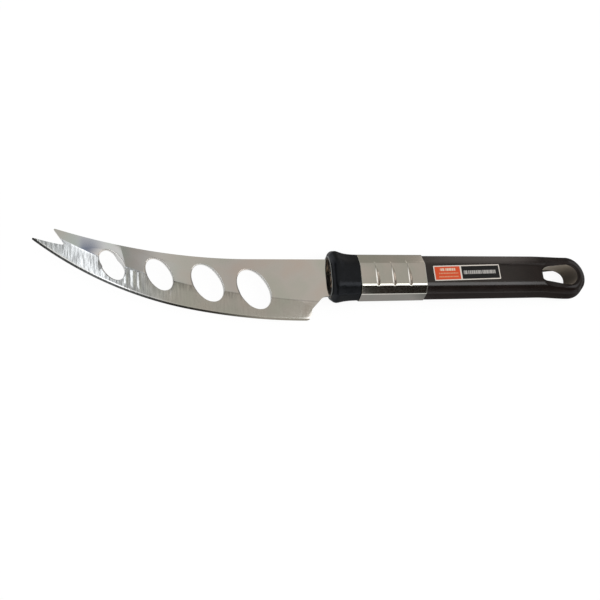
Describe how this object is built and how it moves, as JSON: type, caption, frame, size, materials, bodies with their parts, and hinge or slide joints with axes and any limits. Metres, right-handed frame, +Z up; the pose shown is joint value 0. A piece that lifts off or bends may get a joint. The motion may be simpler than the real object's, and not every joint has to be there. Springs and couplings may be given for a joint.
{
  "type": "cheese knife",
  "caption": "Cheese knife: curved, fork-tipped steel blade pierced by oval holes, black collar, creased steel sleeve and faceted plastic handle with a hanging hole.",
  "frame": {"origin": "under the middle of the lying knife, at the level of the collar's underside", "axes": "+X along the knife from the blade's tip to the handle's tail, +Y towards the blade's spine, +Z up out of the blade's flat side"},
  "size_m": [0.2676, 0.0418, 0.0154],
  "materials": {
    "blade_steel": "ground stainless steel, satin, with cross-grain grinding marks near the tip",
    "collar_plastic": "moulded black plastic, soft sheen",
    "sleeve_steel": "pressed stainless sheet, fine satin",
    "handle_plastic": "moulded dark brown-black plastic, satin",
    "label_film": "printed self-adhesive label in plain fields of colour"
  },
  "bodies": {
    "root": {"blade": "blade_steel", "collar": "collar_plastic", "sleeve": "sleeve_steel", "handle": "handle_plastic", "label": "label_film"}
  },
  "joints": []
}
